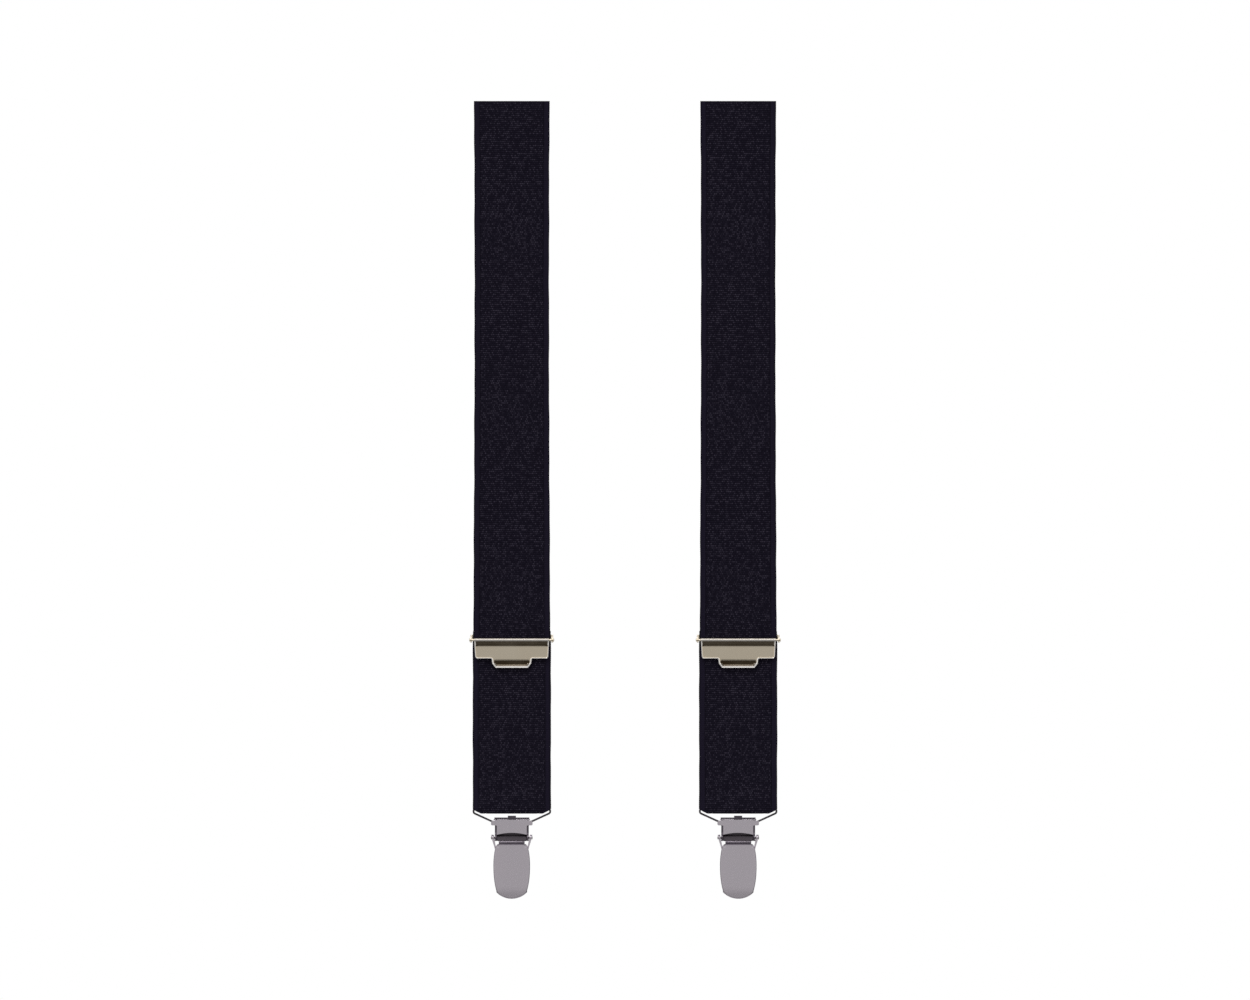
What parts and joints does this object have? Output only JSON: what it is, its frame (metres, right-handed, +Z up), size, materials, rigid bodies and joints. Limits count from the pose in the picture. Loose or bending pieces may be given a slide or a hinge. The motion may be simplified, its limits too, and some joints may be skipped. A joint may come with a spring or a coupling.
{
  "type": "suspenders",
  "caption": "Front straps of clip-on suspenders: dark elastic webbing with metal slide adjusters and lever clips hung on wire loops.",
  "frame": {"origin": "midway between the straps' cut top ends, in the middle of the webbing's thickness", "axes": "+Z up along the hanging straps, -Y the front, +X towards the strap on the right as seen from the front"},
  "size_m": [0.1424, 0.008, 0.3648],
  "materials": {
    "webbing": "ribbed woven elastic",
    "adjuster_metal": "polished nickel plate",
    "clip_metal": "polished nickel plate",
    "wire": "drawn steel wire, darkened",
    "grip_pad": "moulded, ribbed"
  },
  "bodies": {
    "straps": {"left_webbing_upper": "webbing", "right_webbing_upper": "webbing"},
    "left_adjuster": {"left_adjuster_frame": "adjuster_metal", "left_adjuster_pin": "adjuster_metal", "left_webbing_sewn_end": "webbing"},
    "left_flap": {"left_adjuster_flap": "adjuster_metal"},
    "left_fold": {"left_webbing_fold": "webbing", "left_webbing_front_run": "webbing", "left_webbing_return_run": "webbing"},
    "left_loop": {"left_wire_loop": "wire"},
    "left_clip": {"left_clip_body": "clip_metal", "left_clip_rivet_1": "clip_metal", "left_clip_rivet_2": "clip_metal", "left_clip_back_pad": "grip_pad"},
    "left_jaw": {"left_clip_jaw": "clip_metal", "left_clip_front_pad": "grip_pad"},
    "left_lever": {"left_clip_lever": "clip_metal"},
    "right_adjuster": {"right_adjuster_frame": "adjuster_metal", "right_adjuster_pin": "adjuster_metal", "right_webbing_sewn_end": "webbing"},
    "right_flap": {"right_adjuster_flap": "adjuster_metal"},
    "right_fold": {"right_webbing_fold": "webbing", "right_webbing_front_run": "webbing", "right_webbing_return_run": "webbing"},
    "right_loop": {"right_wire_loop": "wire"},
    "right_clip": {"right_clip_body": "clip_metal", "right_clip_rivet_1": "clip_metal", "right_clip_rivet_2": "clip_metal", "right_clip_back_pad": "grip_pad"},
    "right_jaw": {"right_clip_jaw": "clip_metal", "right_clip_front_pad": "grip_pad"},
    "right_lever": {"right_clip_lever": "clip_metal"}
  },
  "joints": [
    {"name": "left_adjuster_slide", "type": "slide", "parent": "straps", "child": "left_adjuster", "axis": [0, 0, 1], "range_m": [-0.07, 0.2]},
    {"name": "left_fold_travel", "type": "slide", "parent": "straps", "child": "left_fold", "axis": [0, 0, 1], "range_m": [-0.035, 0.1], "deforming": ["left_webbing_front_run", "left_webbing_return_run"]},
    {"name": "left_flap_hinge", "type": "hinge", "parent": "left_adjuster", "child": "left_flap", "pos_m": [-0.0518, -0.0022, -0.2465], "axis": [-1, 0, 0], "range_deg": [0, 110]},
    {"name": "left_loop_swing", "type": "hinge", "parent": "left_fold", "child": "left_loop", "pos_m": [-0.0518, 0.00205, -0.32415], "axis": [-1, 0, 0], "range_deg": [-45, 40]},
    {"name": "left_clip_swing", "type": "hinge", "parent": "left_loop", "child": "left_clip", "pos_m": [-0.0518, 0.00205, -0.3298], "axis": [-1, 0, 0], "range_deg": [-45, 35]},
    {"name": "left_lever_hinge", "type": "hinge", "parent": "left_clip", "child": "left_lever", "pos_m": [-0.0518, -0.001, -0.337], "axis": [-1, 0, 0], "range_deg": [0, 95]},
    {"name": "left_jaw_hinge", "type": "hinge", "parent": "left_clip", "child": "left_jaw", "pos_m": [-0.0518, 0.00185, -0.3342], "axis": [-1, 0, 0], "range_deg": [0, 7]},
    {"name": "right_adjuster_slide", "type": "slide", "parent": "straps", "child": "right_adjuster", "axis": [0, 0, 1], "range_m": [-0.07, 0.2]},
    {"name": "right_fold_travel", "type": "slide", "parent": "straps", "child": "right_fold", "axis": [0, 0, 1], "range_m": [-0.035, 0.1], "deforming": ["right_webbing_front_run", "right_webbing_return_run"]},
    {"name": "right_flap_hinge", "type": "hinge", "parent": "right_adjuster", "child": "right_flap", "pos_m": [0.0518, -0.0022, -0.2465], "axis": [-1, 0, 0], "range_deg": [0, 110]},
    {"name": "right_loop_swing", "type": "hinge", "parent": "right_fold", "child": "right_loop", "pos_m": [0.0518, 0.00205, -0.32415], "axis": [-1, 0, 0], "range_deg": [-45, 40]},
    {"name": "right_clip_swing", "type": "hinge", "parent": "right_loop", "child": "right_clip", "pos_m": [0.0518, 0.00205, -0.3298], "axis": [-1, 0, 0], "range_deg": [-45, 35]},
    {"name": "right_lever_hinge", "type": "hinge", "parent": "right_clip", "child": "right_lever", "pos_m": [0.0518, -0.001, -0.337], "axis": [-1, 0, 0], "range_deg": [0, 95]},
    {"name": "right_jaw_hinge", "type": "hinge", "parent": "right_clip", "child": "right_jaw", "pos_m": [0.0518, 0.00185, -0.3342], "axis": [-1, 0, 0], "range_deg": [0, 7]}
  ],
  "couplings": [
    {"joint": "left_fold_travel", "follows": "left_adjuster_slide", "ratio": 0.5},
    {"joint": "left_jaw_hinge", "follows": "left_lever_hinge", "ratio": 0.0736},
    {"joint": "right_fold_travel", "follows": "right_adjuster_slide", "ratio": 0.5},
    {"joint": "right_jaw_hinge", "follows": "right_lever_hinge", "ratio": 0.0736}
  ]
}
